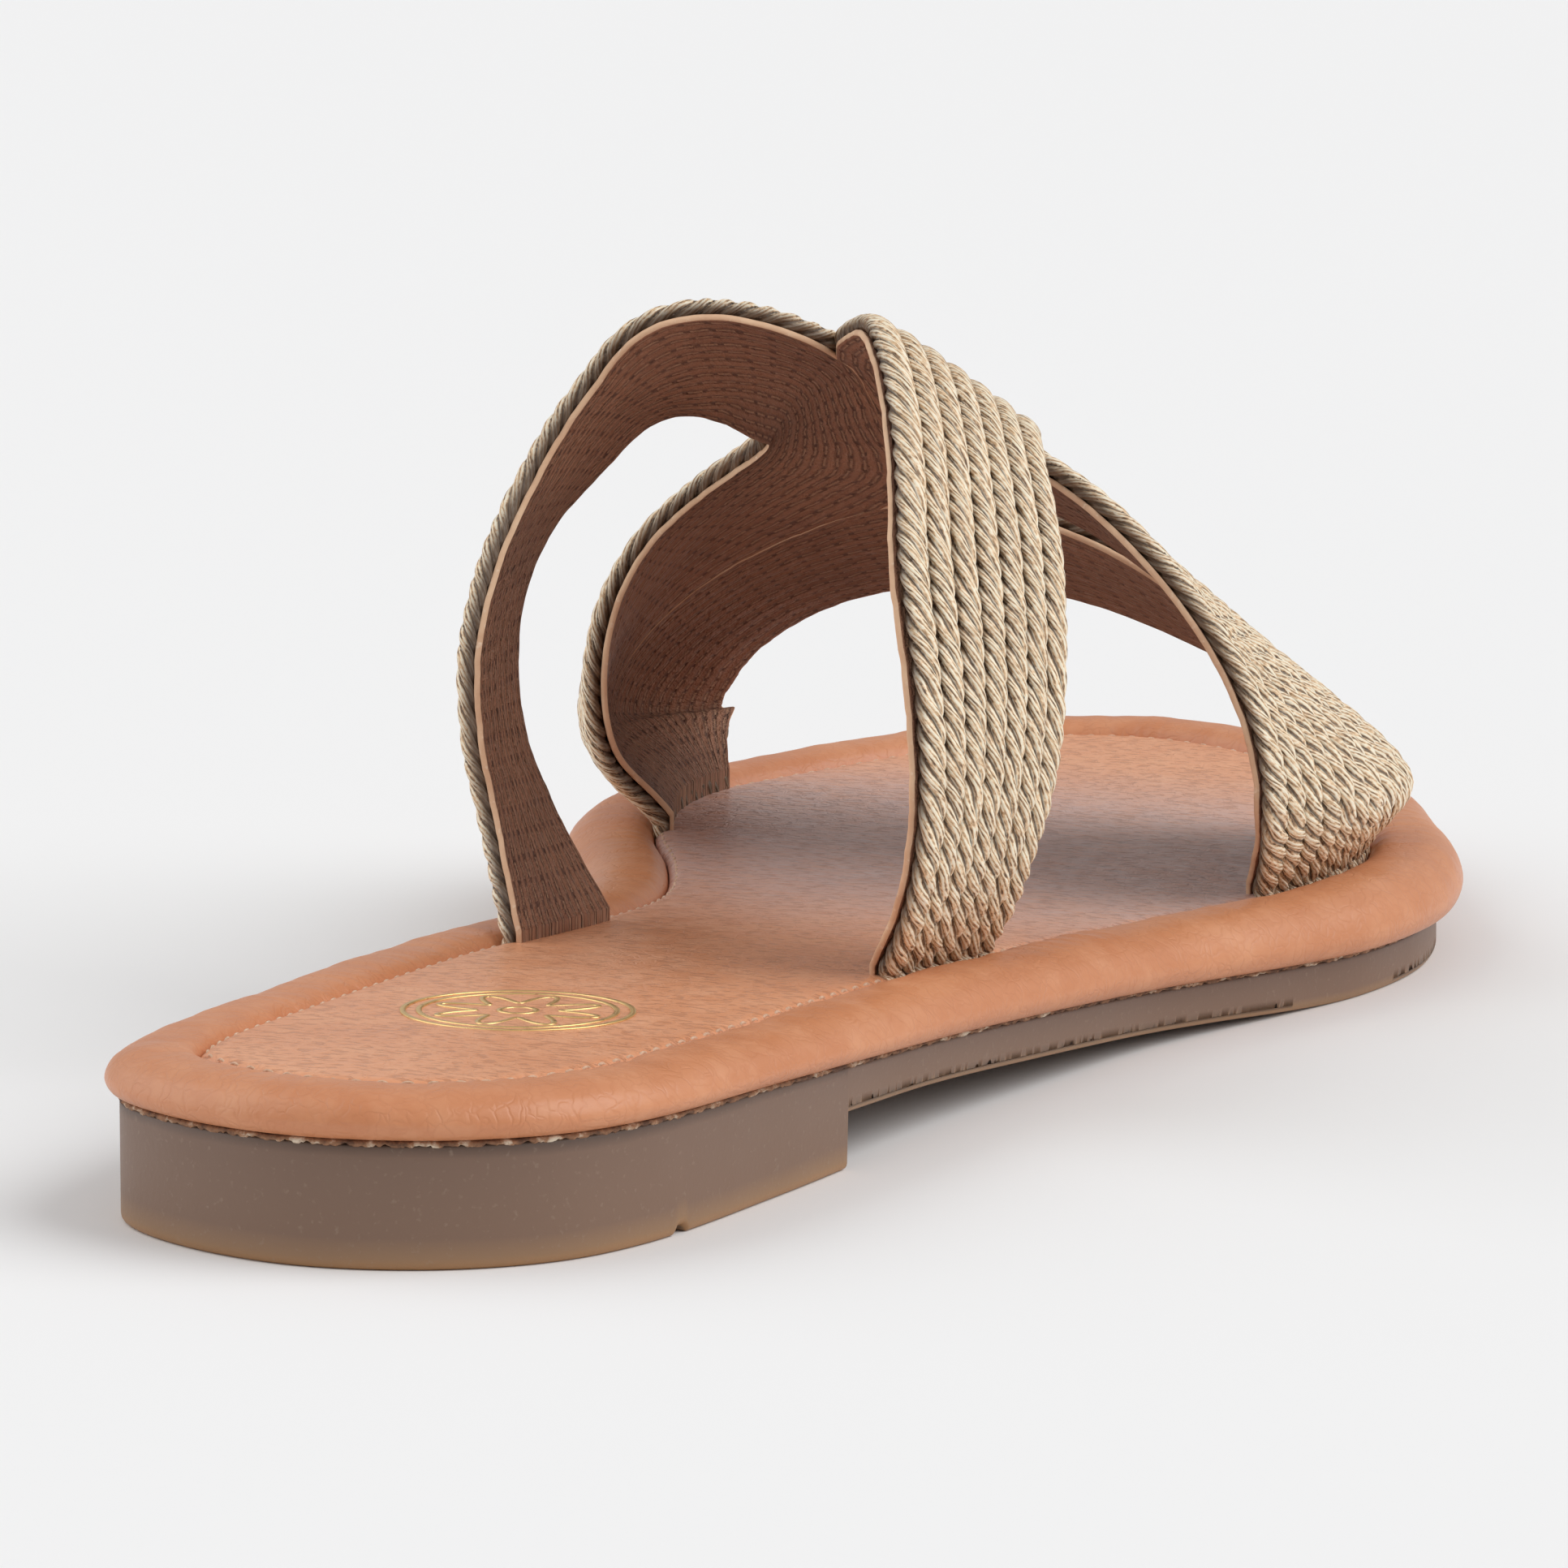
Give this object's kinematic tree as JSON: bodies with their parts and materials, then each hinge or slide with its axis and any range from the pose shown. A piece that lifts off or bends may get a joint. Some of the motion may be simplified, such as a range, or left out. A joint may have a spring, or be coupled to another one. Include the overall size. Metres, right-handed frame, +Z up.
{
  "type": "women's open-toe slide sandal (mule), right shoe",
  "caption": "Flat slide sandal with crossed corded straps, a padded leather footbed rim, stitched-in insole and a moulded rubber sole with a low heel.",
  "frame": {"origin": "on the floor under the middle of the shoe's box", "axes": "+X to the toe, +Y to the medial (inner) side, +Z up"},
  "size_m": [0.248, 0.1024, 0.0756],
  "materials": {
    "outsole_rubber": "satin moulded rubber, translucent tan at the lower edge",
    "rim_leather": "smooth tan leather with a soft sheen",
    "sock_leather": "fine-grained tan leather",
    "gold_cord": "twisted metallic thread cord in pale gold"
  },
  "bodies": {
    "root": {"outsole": "outsole_rubber", "footbed_rim": "rim_leather", "insole": "sock_leather", "upper": "gold_cord"}
  },
  "joints": []
}
